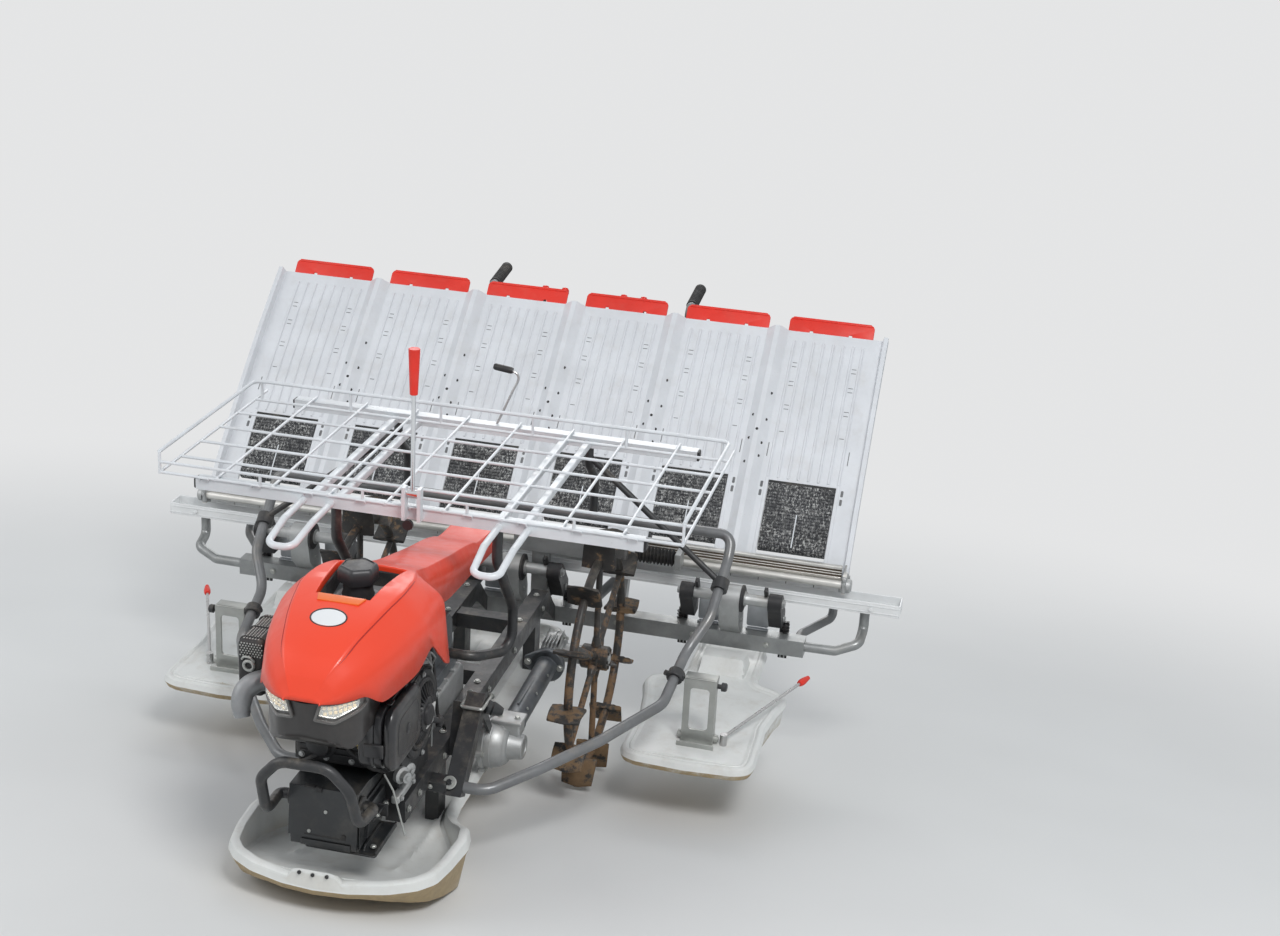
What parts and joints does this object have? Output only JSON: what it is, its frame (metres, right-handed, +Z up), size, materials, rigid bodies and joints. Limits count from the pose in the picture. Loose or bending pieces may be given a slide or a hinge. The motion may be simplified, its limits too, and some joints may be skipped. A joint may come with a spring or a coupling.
{
  "type": "walk-behind rice transplanter",
  "caption": "Walk-behind rice transplanter with lugged wheels, white floats, red bonnet, wire tray rack and a wide sloping seedling platform.",
  "frame": {"origin": "middle of the bounding box, on the floor", "axes": "+X to the machine's left, +Y to the rear where the operator walks, +Z up"},
  "size_m": [2.076, 2.2926, 1.2081],
  "materials": {
    "float_white": "moulded plastic, satin, dried mud",
    "platform_white": "moulded plastic, satin",
    "frame_black": "satin black paint",
    "tube_grey": "satin grey paint",
    "case_aluminium": "cast, dull",
    "engine_grey": "satin grey paint",
    "cover_black": "moulded plastic",
    "muffler_black": "heat resistant paint",
    "duct_grey": "dull",
    "bonnet_red": "gloss red plastic",
    "lamp_glass": "clear lens",
    "rack_white": "white coated steel",
    "rail_white": "white coated steel",
    "rail_metal": "worn",
    "belt_rubber": "ribbed rubber",
    "boot_rubber": "corrugated rubber",
    "grip_rubber": "soft rubber",
    "edging_red": "red plastic",
    "pole_chrome": "bright plated",
    "marker_steel": "wire rod",
    "wheel_steel": "worn paint, mud",
    "lug_rubber": "moulded rubber, mud"
  },
  "bodies": {
    "machine": {"centre_float": "float_white", "side_float_left": "float_white", "side_float_right": "float_white", "main_frame": "frame_black", "engine_box": "frame_black", "engine": "engine_grey", "recoil_starter": "cover_black", "air_cleaner": "cover_black", "muffler": "muffler_black", "cooling_duct": "duct_grey", "bonnet": "bonnet_red", "lamp_mask": "cover_black", "headlamps": "lamp_glass", "fuel_cap": "cover_black", "front_guard": "frame_black", "transmission": "case_aluminium", "axle_case_left": "case_aluminium", "axle_case_right": "case_aluminium", "frame_struts": "frame_black", "float_brackets": "tube_grey", "side_guards": "tube_grey", "rack_supports": "frame_black", "rack_channels": "rack_white", "rack_basket": "rack_white", "planting_beam": "tube_grey", "planting_cases": "case_aluminium", "planting_arms": "cover_black", "slide_rail": "rail_white", "feed_gearbox": "case_aluminium", "feed_boot": "boot_rubber", "rear_guide": "tube_grey", "handlebars": "tube_grey", "hand_grips": "grip_rubber", "control_panel": "cover_black"},
    "platform": {"seedling_platform": "platform_white", "platform_rail": "rail_metal", "feed_belts": "belt_rubber", "top_edging": "edging_red"},
    "pole": {"centre_pole": "pole_chrome", "pole_grip": "edging_red"},
    "marker_arm_left": {"marker_left": "marker_steel"},
    "marker_arm_right": {"marker_right": "marker_steel"},
    "wheel_unit_left": {"wheel_left": "wheel_steel", "lugs_left": "lug_rubber"},
    "wheel_unit_right": {"wheel_right": "wheel_steel", "lugs_right": "lug_rubber"}
  },
  "joints": [
    {"name": "platform_feed", "type": "slide", "parent": "machine", "child": "platform", "axis": [1, 0, 0], "range_m": [-0.112, 0.168]},
    {"name": "pole_fold", "type": "hinge", "parent": "machine", "child": "pole", "pos_m": [0, -0.54743, 0.81583], "axis": [1, 0, 0], "range_deg": [-90, 0]},
    {"name": "marker_swing_left", "type": "hinge", "parent": "machine", "child": "marker_arm_left", "pos_m": [0.676, -0.03267, 0.1974], "axis": [0, -0.1926, 0.9813], "range_deg": [-60, 0]},
    {"name": "marker_swing_right", "type": "hinge", "parent": "machine", "child": "marker_arm_right", "pos_m": [-0.676, -0.03267, 0.1974], "axis": [0, -0.1926, 0.9813], "range_deg": [0, 60]},
    {"name": "wheel_turn_left", "type": "hinge", "parent": "machine", "child": "wheel_unit_left", "pos_m": [0.315, 0.07175, 0.33], "axis": [1, 0, 0], "continuous": true},
    {"name": "wheel_turn_right", "type": "hinge", "parent": "machine", "child": "wheel_unit_right", "pos_m": [-0.315, 0.07175, 0.33], "axis": [1, 0, 0], "continuous": true}
  ]
}
